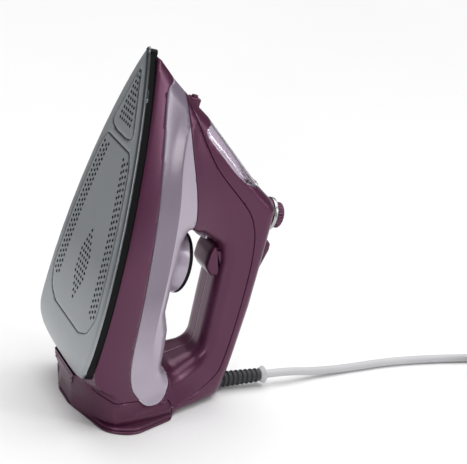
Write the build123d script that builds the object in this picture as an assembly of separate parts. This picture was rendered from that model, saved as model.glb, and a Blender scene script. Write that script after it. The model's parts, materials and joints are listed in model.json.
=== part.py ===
from build123d import *
import os
from math import cos, pi, radians, sin, sqrt, tan

# Steam iron standing on its heel.  Every piece is drawn in the ironing frame: X runs from the
# heel to the tip along the sole, Y is the left side, Z rises from the sole to the handle.
# The whole iron is then set down on its heel, with +Z up and the sole facing -X.

# ---- driving dimensions, mm ----
TIP_X = 303.5        # tip of the sole, measured from the heel line on the floor
SOLE_REAR = 35.6     # rear edge of the sole
SOLE_HALF = 64.0     # widest half width of the sole
WIDEST_X = 85.5      # where the sole is widest
LEAN = 9.0           # the iron leans back by this many degrees when it stands
SOLE_PLATE = 3.2     # thickness of the sole sheet
SHIELD_TOP = 8.6     # top of the black heat shield above the sole
BACK_CURL = 27.0     # length of the upturned rear edge of the sole
CURL_RISE = 9.0      # how far that edge rises
WALL = 2.6           # wall of the plastic shells
CROWN = 150.0        # height of the handle's top line
HEEL_HALF = 67.0     # half width of the body at the heel
HEEL_MID = 40.0      # height at which the heel is widest
HANDLE_HALF = 20.5   # half width of the grip
DECK = 74.0          # height of the tank's top deck at the heel
KNOB_X = 187.0       # steam knob
KNOB_R = 12.5
RING_R = 16.0
RING_Z = 146.0
DIAL_X = 134.0       # temperature dial
DIAL_R = 26.0
DIAL_Z = 69.5
CORD_R = 3.6
BOOT_LENGTH = 46.0
PIN_R = 1.5
RUN_GAP = 0.35       # air round everything that moves

FAR = 400.0
heel_slope = tan(radians(LEAN))


# ---- shape of the outer skin ----
def sole_half(x, half=SOLE_HALF, tip=TIP_X):
    """Half width of the sole's outline at a distance x from the heel."""
    share = (tip - x) / (tip - WIDEST_X)
    if share >= 1:
        return half
    spread = 1 - (1 - abs(share)) ** 1.8
    return half * spread ** 0.87 * (1 if share > 0 else -1)


def heel_half(z):
    """Half width of the body at the heel, at the height z over the sole."""
    rise = max(z - HEEL_MID, 0) / 118
    return HEEL_HALF * (1 - 0.9 * rise ** 1.7)


def soft_max(a, b, blend):
    return (a + b) / 2 + sqrt(((a - b) / 2) ** 2 + blend ** 2)


def skin_half(x, z):
    """Half width of the outer skin at any point of the side view."""
    deck = DECK / (1 + 0.75 * (max(x, 0) / 265) ** 6)
    climb = max(z, 0) / deck
    hull = sole_half(x) / (1 + 0.6 * climb ** 2.6)
    handle = -soft_max(-HANDLE_HALF, -0.46 * sole_half(x) - 0.5, 2)
    body = soft_max(hull, handle, 2.5)
    near_heel = max(1 - (x - heel_slope * z) / 48, 0) ** 2
    return body + (heel_half(z) - body) * min(near_heel, 1)


def half_body(inset):
    """Solid from the middle plane out to the skin, less an inset, on the left side."""
    columns, rows = 34, 22
    grid = []
    for i in range(columns + 1):
        x = -8 + 322 * i / columns
        row = []
        for j in range(rows + 1):
            z = -6 + 170 * j / rows
            row.append((x, skin_half(x, z) - inset, z))
        grid.append(row)
    skin = Face.make_surface_from_array_of_points(grid, tol=0.05, min_deg=3, max_deg=3)
    return extrude(skin, amount=FAR, dir=(0, -1, 0))


# ---- tools ----
def side_face(points, corner=0.0):
    """Closed outline in the side view, with one corner radius or a list of them."""
    path = FilletPolyline(*points, radius=corner, close=True)
    return Plane.XZ * make_face(path)


def side_prism(points, corner=0.0, half=FAR / 2):
    return extrude(side_face(points, corner), amount=half, both=True)


def plan_outline(inset, rear=SOLE_REAR):
    """The sole's outline, seen from above, drawn in by an inset."""
    half = SOLE_HALF - inset
    tip = TIP_X - 1.6 * inset
    back = rear + inset
    xs = [250, 200, 150, 110]
    left = [(x, sole_half(x, half, tip)) for x in xs]
    start = tip - 4
    nose = sole_half(start, half, tip)
    side = Spline([(start, nose)] + left + [(85, half), (62, half - 1)])
    end = (back + 6.5, half - 14)
    turn = Spline([(62, half - 1), (back + 15.5, half - 5), end], tangents=[(-1, -0.12), (-0.5, -1)])
    heel = Spline([end, (back + 0.5, half - 42), (back, 0)], tangents=[(-0.5, -1), (0, -1)])
    tip_arc = ThreePointArc((tip, 0), (tip - 1.1, nose * 0.72), (start, nose))
    half_wire = [tip_arc, side, turn, heel]
    other = [mirror(edge, Plane.XZ) for edge in half_wire]
    return make_face(half_wire + other)


def upright(x, y, z, radius, height):
    """Cylinder that stands on the height z."""
    low = Plane((x, y, z))
    return low * Cylinder(radius, height, align=(Align.CENTER, Align.CENTER, Align.MIN))


def across(x, z, radius, width, y=0.0):
    """Cylinder that lies across the iron."""
    return Plane((x, y, z), x_dir=(1, 0, 0), z_dir=(0, 1, 0)) * Cylinder(radius, width)


def block(x, y, z, length, width, height):
    """Box with its centre at x, y and its bottom at z."""
    low = Plane((x, y, z))
    return low * Box(length, width, height, align=(Align.CENTER, Align.CENTER, Align.MIN))


# ---- outlines in the side view, X and Z ----
top_back = (heel_slope * CROWN, CROWN)
silhouette = [
    (299.5, SHIELD_TOP - 6),
    (296, 12),
    (283.5, 27),
    (270.5, 46.5),
    (259.5, 64.5),
    (210.5, 127),
    (203, 139),
    (197, 145.6),
    (165, 147.4),
    (110, CROWN),
    top_back,
    (heel_slope * 18 + 0.4, 18),
    (30, 9),
    (60, SHIELD_TOP - 6),
]
silhouette_corners = [0, 4, 30, 0, 6, 20, 8, 6, 60, 100, 11, 2, 5, 0]

finger_gap = [
    (173, 66.5),
    (159, 104),
    (146, 109),
    (122, 111),
    (64, 116.5),
    (50, 92),
    (54, 79.5),
    (86, 73.5),
    (122, 68.5),
]
gap_corners = [5, 7, 12, 60, 15, 12, 4, 60, 60]

skirt_seam = [
    (283, 26),
    (279, 21.5),
    (271, 20),
    (234, 23.3),
    (190, 28),
    (122, 33.3),
    (69, 39),
    (44, 46.5),
    (31, 57),
]
handle_seam = [(172.5, 70), (183, 69.4), (199, 65.5), (217.5, 59), (240, 50.5), (262, 43), (275, 41)]
spine_seam = [
    (259.4, 50.2),
    (224.3, 78.8),
    (198.8, 111),
    (189.4, 121.3),
    (179, 127.7),
    (167, 132),
    (141, 136.3),
    (98, 138.8),
    (58.6, 138.5),
    (45, 134),
    (34.4, 122),
    (27, 104),
]

# filler lid: s runs up its outer edge from the hinge end, t goes into the body
LID_FOOT = (262.2, 61.0)
LID_ANGLE = 128.1


def lid_point(s, t):
    """Point of the side view at s along the lid's outer edge and t under it."""
    angle = radians(LID_ANGLE)
    along = (cos(angle), sin(angle))
    return (LID_FOOT[0] + s * along[0] - t * along[1], LID_FOOT[1] + s * along[1] + t * along[0])


# ---- the hollow body, left half ----
def left_prism(face):
    return extrude(face, amount=FAR / 2, dir=(0, 1, 0))


def heel_tool():
    """Keeps the heel's rounded underside and everything in front of it."""
    low, side = 18.0, HEEL_HALF + 6
    points = [(-side, FAR), (-side, low + 10), (-32, low), (32, low), (side, low + 10), (side, FAR)]
    outline = FilletPolyline(*points, radius=[0, 22, 90, 90, 22, 0], close=True)
    at_heel = Plane((-10, 0, 0), x_dir=(0, 1, 0), z_dir=(1, 0, 0)) * make_face(outline)
    heel = extrude(at_heel, amount=60, dir=(1, 0, -0.12))
    return heel + block(FAR / 2 + 36, 0, -20, FAR, FAR, FAR)


def curl_line(lift):
    """Side view of the sole's lower edge, moved up by a lift, as a chain of edges."""
    radius = (BACK_CURL ** 2 + CURL_RISE ** 2) / (2 * CURL_RISE)
    bend = SOLE_REAR + BACK_CURL
    reach = 50.0
    start = (bend, lift)
    tilt = radians(reach)
    end = (bend - (radius - lift) * sin(tilt), radius - (radius - lift) * cos(tilt))
    half = tilt / 2
    middle = (bend - (radius - lift) * sin(half), radius - (radius - lift) * cos(half))
    return start, middle, end


def layer(low, high):
    """Bent sheet that follows the sole between two heights above it, full width."""
    a, b, c = curl_line(low)
    d, e, f = curl_line(high)
    front = TIP_X + 20
    edges = [
        Line((front, low), a),
        ThreePointArc(a, b, c),
        Line(c, f),
        ThreePointArc(f, e, d),
        Line(d, (front, high)),
        Line((front, high), (front, low)),
    ]
    return extrude(Plane.XZ * make_face(edges), amount=FAR / 2, both=True)


gap_face = side_face(finger_gap, gap_corners)
side_view = side_face(silhouette, silhouette_corners) - gap_face
inner_view = offset(side_face(silhouette, silhouette_corners), -WALL) - offset(gap_face, WALL)
under_sole = layer(-30, SHIELD_TOP)
solid_left = (left_prism(side_view) & half_body(0) & heel_tool()) - under_sole
hollow_left = (left_prism(inner_view) & half_body(WALL) & Pos(0, 0, WALL) * heel_tool()) - under_sole
shell_left = solid_left - hollow_left


def both_sides(half):
    """The left half joined to its mirror image, without crumbs."""
    kept = [solid for solid in half.solids() if solid.volume > 1]
    left = Compound(kept)
    return left + mirror(left, Plane.XZ)


def panel(rest, outline):
    """Takes one panel's left half out of what is left of the shell."""
    cutter = side_prism(outline)
    return rest & cutter, rest - cutter


tank_area = [(300, 26.5)] + skirt_seam + [(26.5, 70), (28, 86), (44, 86.5), (56.5, 77), (59, 86), (165, 86)]
tank_area = tank_area + handle_seam + [(300, 41)]
heel_area = [(-20, -5), (38, -5), (37.5, 9.6), (31.6, 22.5), (29.7, 34.3), (31, 60), (29, 88), (11, 94), (-20, 98)]
skirt_area = [(320, -5), (320, 26.5)] + skirt_seam + [(20, 57), (20, -5)]
handle_area = [(275, 38)] + spine_seam + [(26, 86), (60, 60), (170, 60), (240, 40)]

tank_left, rest = panel(shell_left, tank_area)
heel_left, rest = panel(rest, heel_area)
skirt_left, rest = panel(rest, skirt_area)
handle_left_half, rest = panel(rest, handle_area)
spine_left = rest

hollow = hollow_left + mirror(hollow_left, Plane.XZ)
lower_skirt = both_sides(skirt_left)
water_tank = both_sides(tank_left)
heel_cap = both_sides(heel_left)
spine_cover = both_sides(spine_left)
handle_left = Compound([solid for solid in handle_left_half.solids() if solid.volume > 1])
parts = {}


# ---- sole and heater ----
def plan_prism(inset, low=-5, height=60):
    return Plane((0, 0, low)) * extrude(plan_outline(inset), amount=height)


def steam_holes():
    """Places of the steam holes: a small triangle at the tip, two long bands and a lozenge."""
    places = []
    for row in range(10):
        count = 1 + round(row * 0.6)
        for k in range(count):
            places.append((283 - 4.6 * row, 4.4 * (k - (count - 1) / 2)))
    for row in range(26):
        x = 216 - 4.8 * row
        for lane in range(3):
            y = sole_half(x) - 14.5 - 4.6 * lane
            places.append((x - 2.4 * (lane % 2), y))
            places.append((x - 2.4 * (lane % 2), -y))
    for row in range(13):
        count = 1 + min(row, 12 - row, 4)
        for k in range(count):
            places.append((149 - 4.8 * row, 4.6 * (k - (count - 1) / 2)))
    return places


sole_blank = plan_prism(0) & layer(0, SOLE_PLATE)
drills = Compound([upright(x, y, -1, 1.1, 8) for x, y in steam_holes()])
parts["soleplate"] = sole_blank - drills
parts["heat_shield"] = (plan_prism(0.9) - plan_prism(12)) & layer(SOLE_PLATE, SHIELD_TOP)

CASTING_TOP = 12.0
COVER_LOW = CASTING_TOP + 0.8
COVER_TOP = COVER_LOW + 2
screw_places = [(92, 43), (92, -43), (252, 0)]
casting = plan_prism(18) & layer(SOLE_PLATE, CASTING_TOP)
sole_screws = None
for x, y in screw_places:
    screw = upright(x, y, CASTING_TOP - 6, 1.6, 6) + upright(x, y, CASTING_TOP, 3.2, 2.4)
    casting = casting - screw
    sole_screws = screw if sole_screws is None else sole_screws + screw
parts["heater_casting"] = casting - parts["heat_shield"]
parts["sole_screws"] = sole_screws

ELEMENT_R = 3.4
ELEMENT_Z = CASTING_TOP + ELEMENT_R
element_route = [(78, 34), (160, 32), (238, 8), (238, -8), (160, -32), (78, -34)]


def tube(points, corner, radius):
    """Round tube along straight runs joined by arcs."""
    path = FilletPolyline(*points, radius=corner)
    return sweep(Plane(path @ 0, z_dir=path % 0) * Circle(radius), path=path)


element_points = [(x, y, ELEMENT_Z) for x, y in element_route]
parts["heating_element"] = tube(element_points, [60, 7, 7, 60], ELEMENT_R)
cover_outline = [(72, 27), (150, 25.5), (228, 5), (228, -5), (150, -25.5), (72, -27)]
cover_face = make_face(FilletPolyline(*cover_outline, radius=[6, 60, 4, 4, 60, 6], close=True))
cover_inner = offset(cover_face, -3)
parts["chamber_seal"] = Plane((0, 0, CASTING_TOP)) * extrude(cover_face - cover_inner, amount=0.8)
parts["steam_chamber_cover"] = Plane((0, 0, COVER_LOW)) * extrude(cover_face, amount=2)
fuse = across(176, COVER_TOP + 2.5, 2.5, 16)
parts["thermal_fuse"] = fuse
SHAFT_R = 3.0
bore = SHAFT_R + 0.06
box_top = COVER_TOP + 5
thermostat = block(DIAL_X, 0, COVER_TOP, 28, 18, 5) + upright(DIAL_X, 0, box_top, 6, 6)
parts["thermostat"] = thermostat - upright(DIAL_X, 0, box_top + 0.5, bore, 10)

# ---- tank ----
base_upper = skirt_seam[1:-1]
base_lower = [(x, z - 2.4) for x, z in reversed(base_upper)]
base_strip = side_prism(base_upper + base_lower)
base_wall = side_prism([(44, 44.1), (47, 44.1), (51, 84), (48, 84)])
seat_hole = upright(KNOB_X, 0, 10, 6, 40)
tube_hole = upright(DIAL_X, 0, 10, 5, 50)
parts["tank_base"] = ((base_strip + base_wall) & hollow) - seat_hole - tube_hole
ROD_R = 2.4
parts["valve_seat"] = upright(KNOB_X, 0, 20, 6, 15) - upright(KNOB_X, 0, 22, ROD_R + 0.06, 20)
guide = (upright(DIAL_X, 0, 28, 5, 60) & hollow) - upright(DIAL_X, 0, 20, SHAFT_R + RUN_GAP, 80)
parts["shaft_tube"] = Compound([solid for solid in guide.solids() if solid.center().Z < 90])

# ---- temperature dial ----
DIAL_BODY = 9.2
DIAL_CAP = 3.4
dial_well = upright(DIAL_X, 0, DIAL_Z - 0.4, DIAL_R + 0.6, 30)
water_tank = water_tank - dial_well - upright(DIAL_X, 0, 50, SHAFT_R + RUN_GAP, 40)
dial = chamfer(upright(0, 0, 0, DIAL_R, DIAL_BODY).edges().sort_by(Axis.Z)[0], 1.2)
dial = dial - upright(0, 0, -1, DIAL_R - 3, DIAL_BODY - 1.6) + upright(0, 0, 0, 6, DIAL_BODY)
dial = dial - upright(0, 0, -1, SHAFT_R, 30)
parts["temperature_dial"] = Plane((DIAL_X, 0, DIAL_Z)) * dial
rim = upright(0, 0, 0, DIAL_R, DIAL_CAP)
rim = fillet(rim.edges().filter_by(GeomType.CIRCLE).sort_by(Axis.Z)[-1], 1.2)
parts["dial_rim"] = Plane((DIAL_X, 0, DIAL_Z + DIAL_BODY)) * rim
shaft_low = box_top + 1
parts["thermostat_shaft"] = upright(DIAL_X, 0, shaft_low, SHAFT_R, DIAL_Z + DIAL_BODY - shaft_low)
parts["water_tank"] = water_tank

# ---- steam knob ----
turret = upright(KNOB_X, 0, 136, 15, RING_Z - 136)
rod_hole = upright(KNOB_X, 0, 100, ROD_R + RUN_GAP, 80)
spine_cover = spine_cover - upright(KNOB_X, 0, RING_Z, RING_R + 0.3, 20) + turret
COLLAR_HEIGHT = 3.9
parts["knob_collar"] = upright(KNOB_X, 0, RING_Z, RING_R, COLLAR_HEIGHT) - rod_hole
KNOB_LOW = RING_Z + COLLAR_HEIGHT + RUN_GAP
KNOB_HEIGHT = 10.0
KNOB_RIBS = 24
knob = upright(0, 0, 0, KNOB_R, KNOB_HEIGHT)
knob = fillet(knob.edges().filter_by(GeomType.CIRCLE).sort_by(Axis.Z)[-1], 1.8)
groove = upright(KNOB_R + 0.2, 0, -1, 0.8, KNOB_HEIGHT - 1.5)
knob = knob - Compound([Rot(0, 0, 360 * k / KNOB_RIBS) * groove for k in range(KNOB_RIBS)])
knob = knob - upright(0, 0, -1, ROD_R, 7)
parts["steam_knob"] = Plane((KNOB_X, 0, KNOB_LOW)) * knob
parts["steam_rod"] = upright(KNOB_X, 0, 23, ROD_R, KNOB_LOW + 6 - 23)


# ---- spray button and its pump ----
def spring(x, low, radius, height):
    """Open coil spring that stands on the height low."""
    path = Helix(pitch=height / 3, height=height - 1, radius=radius)
    wire = sweep(Plane(path @ 0, z_dir=path % 0) * Circle(0.4), path=path)
    return Plane((x, 0, low + 0.5)) * wire


SPRAY_X = 160.0
button_side = [(140.2, 142), (166.2, 142), (166.2, 151), (163.4, 154), (158, 154.4), (140.2, 150.8)]
button_slot = block(153.2, 0, 130, 26.8, 18.4, 40)
button = side_prism(button_side, [0, 0, 1, 2, 2, 0.6], 8.8)
parts["spray_button"] = button
parts["spray_piston"] = upright(SPRAY_X, 0, 127, 4.5, 15)
parts["spray_pump"] = upright(SPRAY_X, 0, 121, 6.5, 17) - upright(SPRAY_X, 0, 123, 4.55, 20)
parts["button_spring"] = spring(SPRAY_X, 138, 5.7, 4)

# ---- steam trigger and its pump ----
TRIGGER_X = 143.0
trigger_side = [(156.4, 101), (137, 99.6), (130.6, 104.5), (130.6, 116), (156.4, 116)]
trigger_slot = side_prism([(156.8, 90), (130.2, 90), (130.2, 119.9), (156.8, 119.9)], 0, 17.4)
parts["steam_trigger"] = side_prism(trigger_side, [2, 5, 5, 1, 1], 17)
parts["boost_piston"] = upright(TRIGGER_X, 0, 116, 4, 12)
parts["boost_pump"] = upright(TRIGGER_X, 0, 123, 6, 14) - upright(TRIGGER_X, 0, 122, 4.05, 12.2)
parts["trigger_spring"] = spring(TRIGGER_X, 116, 5.2, 7)
handle_left = handle_left - trigger_slot - rod_hole

# ---- filler lid ----
lid_st = [(8, -5), (8, 9), (14, 10.5), (55, 10.2), (67, 8.2), (76, 4), (83, -1), (83, -5)]
lid_corners = [0, 2, 4, 20, 12, 10, 0, 0]
lid_gap_st = [(s + (-RUN_GAP if s < 10 else RUN_GAP), t + RUN_GAP) for s, t in lid_st]
lid_prism = side_prism([lid_point(s, t) for s, t in lid_st], lid_corners)
lid_opening = side_prism([lid_point(s, t) for s, t in lid_gap_st], lid_corners)
LID_WALL = 2.0
lid_core_st = [(11.6, LID_WALL), (11.6, 30), (90, 30), (90, LID_WALL)]
lid_core = left_prism(side_face([lid_point(s, t) for s, t in lid_core_st])) & half_body(LID_WALL)
lid = both_sides((solid_left & lid_prism) - lid_core)
PIN_ST = (4, 4)
HINGE_CLEAR = 5.8    # the lid's lower edge stays this far from the pin, so it clears the spine
pin_x, pin_z = lid_point(*PIN_ST)
lid = lid - across(pin_x, pin_z, HINGE_CLEAR, 60)
arm_st = [(1.6, 1.6), (10.6, 0.6), (10.6, 7), (1.6, 6.4)]
arm = side_prism([lid_point(s, t) for s, t in arm_st], [2, 0.5, 0.5, 2], 5)
lid = lid + arm - across(pin_x, pin_z, PIN_R + 0.06, 60)
parts["filler_lid"] = lid
arm_room = across(pin_x, pin_z, 5.5, 10.8)
parts["lid_pin"] = across(pin_x, pin_z, PIN_R, 21)
spine_cover = spine_cover - lid_opening - arm_room - parts["lid_pin"]
tray_st = [(6, 11.4), (60, 11.2), (72, 8.9), (73.5, 10.2), (61, 13.2), (6, 13.4)]
tray = side_prism([lid_point(s, t) for s, t in tray_st]) & hollow
mouth = lid_point(44, 8)
into_body = (-sin(radians(LID_ANGLE)), 0, cos(radians(LID_ANGLE)))
mouth_plane = Plane((mouth[0], 0, mouth[1]), z_dir=into_body)
bottom = (Align.CENTER, Align.CENTER, Align.MIN)
funnel = mouth_plane * (Plane((0, 0, 4)) * Cylinder(7.5, 6, align=bottom))
throat = mouth_plane * Cylinder(6, 30, align=bottom)
parts["filler_funnel"] = tray + funnel - throat
handle_left = handle_left - lid_opening

# ---- spray nozzle ----
nozzle = fillet(block(264.8, 0, 46.9, 13.4, 10.4, 8.4).edges().filter_by(Axis.X), 1)
spine_cover = spine_cover - block(264.8, 0, 46.9, 13.4, 10.4, 8.4)
parts["spray_nozzle"] = nozzle
nozzle_plane = Plane((271.5, 0, 51), z_dir=(1, 0, 0))
parts["nozzle_tip"] = nozzle_plane * (Cylinder(2.6, 1.6, align=bottom) - Cylinder(0.6, 4))
hose_points = [(166.4, 8, 124), (188, 8, 121), (204, 7, 101), (238, 4, 57), (258, 0, 51)]
parts["spray_hose"] = tube(hose_points, [10, 12, 30], 1.6)
parts["spray_pump"] = parts["spray_pump"] + block(166, 8, 122, 5, 5, 5) - parts["spray_hose"]


# ---- heel ----
heel_plane = Plane((0, 0, 0), x_dir=(0, 1, 0), z_dir=(cos(radians(LEAN)), 0, -sin(radians(LEAN))))
foot_side = [(70.5, 24), (70.5, 52), (61, 73), (49, 95)]
foot_points = [(-34, 17.3), (34, 17.3)] + foot_side + [(-y, z) for y, z in reversed(foot_side)]
foot_face = make_face(FilletPolyline(*foot_points, radius=[90, 90, 18, 22, 80, 5, 5, 80, 22, 18], close=True))
FOOT_THICK = 3.4
foot = heel_plane * extrude(foot_face, amount=FOOT_THICK)
heel_cap = heel_cap - foot
lower_skirt = lower_skirt - foot
spine_cover = spine_cover - foot
water_tank = parts["water_tank"] - foot
heel_screws = None
for y in (-26, 26):
    at = heel_plane * Plane((y, 44, 0))
    screw = at * (Plane((0, 0, 1)) * Cylinder(3.4, 2.4, align=bottom) + Cylinder(1.5, 13, align=bottom))
    screw = screw - at * Cylinder(6, 2, align=(Align.CENTER, Align.CENTER, Align.CENTER))
    heel_screws = screw if heel_screws is None else heel_screws + screw
    foot = foot - at * Cylinder(3.4, 30)
    heel_cap = heel_cap - at * Cylinder(1.5, 60)
parts["heel_foot"] = foot
parts["heel_screws"] = heel_screws

# ---- handle ----
LAMP_X = 74.0
lamp = fillet(upright(LAMP_X, 0, 144, 3, 6.6).edges().sort_by(Axis.Z)[-1], 0.8)
parts["pilot_lamp"] = lamp
spine_cover = spine_cover - button_slot - rod_hole - upright(LAMP_X, 0, 140, 3, 20)
handle_screws = None
for x, z in ((92, 124), (205, 84)):
    shank = across(x, z, 1.6, 24)
    heads = across(x, z, 3.0, 2, 13) + across(x, z, 3.0, 2, -13)
    screw = shank + heads
    handle_screws = screw if handle_screws is None else handle_screws + screw
parts["handle_screws"] = handle_screws
parts["terminal_block"] = block(33, 0, 58, 11, 24, 20)
parts["cord_clamp"] = block(31, 0, 108, 9, 20, 7) - upright(31, 0, 100, CORD_R, 30)
wires = None
for k, y in enumerate((-8, 0, 8)):
    side = 33.0 if k == 2 else -33.0 if k == 0 else 0.0
    route = [(33, y, 58), (34, y * 1.3, 30), (56, side * 0.7, 26), (71, side, ELEMENT_Z)]
    if side == 0:
        route = [(33, 0, 58), (34, 0, 34), (60, 0, 27), (119.9, 0, COVER_TOP + 3)]
    else:
        route = route + [(77.4, side, ELEMENT_Z)]
    wire = tube(route, [9] * (len(route) - 2), 1.2)
    wires = wire if wires is None else wires + wire
parts["inner_wires"] = wires
parts["lower_skirt"] = lower_skirt
parts["heel_cap"] = heel_cap
parts["water_tank"] = water_tank
parts["handle_left"] = handle_left
parts["handle_right"] = mirror(handle_left, Plane.XZ)

# ---- stand the iron on its heel ----
tilt = radians(LEAN)
standing = Plane((0, 0, 0), x_dir=(sin(tilt), 0, cos(tilt)), z_dir=(cos(tilt), 0, -sin(tilt)))


def stood(x, y, z):
    """A point of the ironing frame in the standing iron, before it is centred."""
    return (x * sin(tilt) + z * cos(tilt), -y, x * cos(tilt) - z * sin(tilt))


parts["spine_cover"] = spine_cover
world = {name: standing.location * shape for name, shape in parts.items()}

# ---- cord, laid on the floor the iron stands on ----
GLAND_X = 151.6      # where the cord leaves the spine
GLAND_Z = 8.2
BOOT_TURN = 12.0     # the swivel lets the cord turn this many degrees sideways
BOOT_RISE = 3.0
turn, rise = radians(BOOT_TURN), radians(BOOT_RISE)
exit_dir = (cos(turn) * cos(rise), sin(turn) * cos(rise), sin(rise))
exit_plane = Plane((GLAND_X, 0, GLAND_Z), x_dir=(0, 0, 1), z_dir=exit_dir)
GLAND_R = 7.4
GLAND_DEPTH = 14.0
gland = Plane((0, 0, -GLAND_DEPTH)) * Cylinder(GLAND_R, GLAND_DEPTH + 2.4, align=bottom)
gland_hole = exit_plane * (Plane((0, 0, -30)) * Cylinder(GLAND_R, 60, align=bottom))
gland = gland - Plane((0, 0, -GLAND_DEPTH - 1)) * Cylinder(CORD_R, 40, align=bottom)
world["cord_bushing"] = exit_plane * gland
world["spine_cover"] = world["spine_cover"] - gland_hole
RIBS = 9
boot_low = 2.4
boot = Plane((0, 0, boot_low)) * Cone(5.6, 4.8, BOOT_LENGTH, align=bottom)
pitch = (BOOT_LENGTH - 5) / RIBS
for k in range(RIBS):
    rib_r = 7.0 - 0.08 * k
    boot = boot + Plane((0, 0, boot_low + pitch * k)) * Cylinder(rib_r, pitch * 0.55, align=bottom)
collar_low = boot_low + BOOT_LENGTH - 4
boot = boot + Plane((0, 0, collar_low)) * Cone(6.2, 7.8, 4, align=bottom)
world["strain_relief"] = exit_plane * boot

boot_end = boot_low + BOOT_LENGTH


def out_of_gland(distance):
    return tuple(a + distance * b for a, b in zip((GLAND_X, 0, GLAND_Z), exit_dir))


LIE = CORD_R + 0.2   # height of the cord's axis where it lies on the floor
cord_start = out_of_gland(boot_end)
COIL_X, COIL_Y = 464.0, -20.0
COIL_R = 40.0
TURN_STEP = 7.3      # from one turn of the coil to the next one beside it
entry = COIL_Y + COIL_R + TURN_STEP
cord_route = [
    cord_start,
    out_of_gland(boot_end + 24),
    (254, 20, 6.4),
    (290, 25.5, LIE),
    (334, 32, LIE),
    (378, 33, LIE),
    (422, 28.6, LIE),
    (COIL_X - 12, entry, LIE),
]


def bend_radii(route):
    """The largest radii that the runs of a route allow, one for each inner point."""
    radii = []
    for before, point, after in zip(route, route[1:], route[2:]):
        a = Vector(*point) - Vector(*before)
        b = Vector(*after) - Vector(*point)
        half_turn = radians(a.get_angle(b)) / 2
        radii.append(0.45 * min(a.length, b.length) / tan(half_turn))
    return radii


def cord(route):
    radii = bend_radii(route)
    print("bend radii", [round(r) for r in radii])
    path = FilletPolyline(*route, radius=radii)
    solid = sweep(Plane(path @ 0, z_dir=path % 0) * Circle(CORD_R), path=path)
    print("cord", round(path.length, 1), "volume share", solid.volume / (pi * CORD_R ** 2 * path.length))
    return solid


world["mains_cord"] = cord(cord_route)
LAYERS = 3
LAYER_STEP = 6.6
coil_half = 1.5 * TURN_STEP + 0.1
coil_height = LAYER_STEP * (LAYERS - 1) + 2 * CORD_R + 0.4
coil = Cylinder(COIL_R + coil_half, coil_height, align=bottom)
coil = coil - Cylinder(COIL_R - coil_half, 3 * coil_height)
world["cord_coil"] = Plane((COIL_X, COIL_Y, 0.2)) * coil

# ---- plug, lying beside the coil ----
LEAD_Z = LIE + LAYER_STEP * (LAYERS - 1)
PLUG_R = 17.0
lead_y = COIL_Y + COIL_R
plug_x = COIL_X + 66
lead_route = [(COIL_X + 26, lead_y, LEAD_Z), (COIL_X + 44, lead_y + 0.5, LEAD_Z), (plug_x, lead_y, PLUG_R + 0.2)]
world["plug_lead"] = cord(lead_route)
plug_plane = Plane((plug_x, lead_y, PLUG_R + 0.2), x_dir=(0, 0, 1), z_dir=(1, 0, 0))
plug = Cone(5.4, 9, 14, align=bottom) + Plane((0, 0, 14)) * Cone(13, PLUG_R, 8, align=bottom)
plug = plug + Plane((0, 0, 22)) * Cylinder(PLUG_R, 20, align=bottom)
world["plug_body"] = plug_plane * plug
PIN_SPACING = 19.0
pins = None
for side in (-1, 1):
    pin = Plane((0, side * PIN_SPACING / 2, 42)) * Cylinder(2.4, 19, align=bottom)
    pins = pin if pins is None else pins + pin
world["plug_pins"] = plug_plane * pins

# ---- centre the iron over the origin and write the parts ----
cord_pieces = ["strain_relief", "mains_cord", "cord_coil", "plug_lead", "plug_body", "plug_pins"]
iron = Compound([shape for name, shape in world.items() if name not in cord_pieces])
box = iron.bounding_box()
centre_x = (box.min.X + box.max.X) / 2
os.makedirs("parts", exist_ok=True)
for name, shape in world.items():
    solids = [solid for solid in shape.solids() if solid.volume > 0.5]
    moved = Pos(-centre_x, 0, 0) * (solids[0] if len(solids) == 1 else Compound(solids))
    export_step(moved, f"parts/{name}.step")

print("centre_x", centre_x, "box", box)
joint_points = {
    "dial": (DIAL_X, 0, DIAL_Z),
    "knob": (KNOB_X, 0, KNOB_LOW),
    "lid": (pin_x, 0, pin_z),
    "sole": (150, 0, 0),
    "gap_low": (140, 0, 84),
    "gap_high": (70, 0, 110),
}
for name, point in joint_points.items():
    x, y, z = stood(*point)
    print(name, round(x - centre_x, 3), round(y, 3), round(z, 3))
print("up from the sole", round(cos(tilt), 6), 0, round(-sin(tilt), 6))
print("pin of the plug", round(plug_x + 42 - centre_x, 3), lead_y, PLUG_R + 0.2)
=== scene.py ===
import json
from math import acos, cos, pi, radians, sin, tan

import bmesh
import bpy
import numpy as np
from mathutils import Matrix, Vector
from mathutils.geometry import delaunay_2d_cdt


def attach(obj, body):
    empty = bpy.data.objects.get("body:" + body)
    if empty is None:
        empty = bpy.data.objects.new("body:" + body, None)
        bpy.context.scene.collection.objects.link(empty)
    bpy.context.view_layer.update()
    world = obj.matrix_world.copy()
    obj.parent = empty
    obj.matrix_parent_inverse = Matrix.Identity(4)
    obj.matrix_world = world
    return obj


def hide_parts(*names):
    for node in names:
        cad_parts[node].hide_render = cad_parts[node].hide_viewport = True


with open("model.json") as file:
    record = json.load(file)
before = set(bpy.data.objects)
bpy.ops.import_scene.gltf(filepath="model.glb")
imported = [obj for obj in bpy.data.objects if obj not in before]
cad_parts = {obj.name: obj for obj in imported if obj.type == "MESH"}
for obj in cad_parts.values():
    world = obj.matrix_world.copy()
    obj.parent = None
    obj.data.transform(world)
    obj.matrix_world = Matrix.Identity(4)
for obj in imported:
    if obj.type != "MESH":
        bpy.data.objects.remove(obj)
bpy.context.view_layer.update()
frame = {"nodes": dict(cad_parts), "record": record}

# ---------------------------------------------------------------- camera
EYE = Vector((-0.5131661, -1.1234035, 0.6220708))
TO_RIGHT = Vector((0.9088226, -0.3860348, 0.1581729))
TO_BACK = Vector((-0.4171554, -0.8365636, 0.3551657))
FOCAL_LENGTHS = 3.50423          # focal length in widths of the sensor
SENSOR = 36.0

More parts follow.
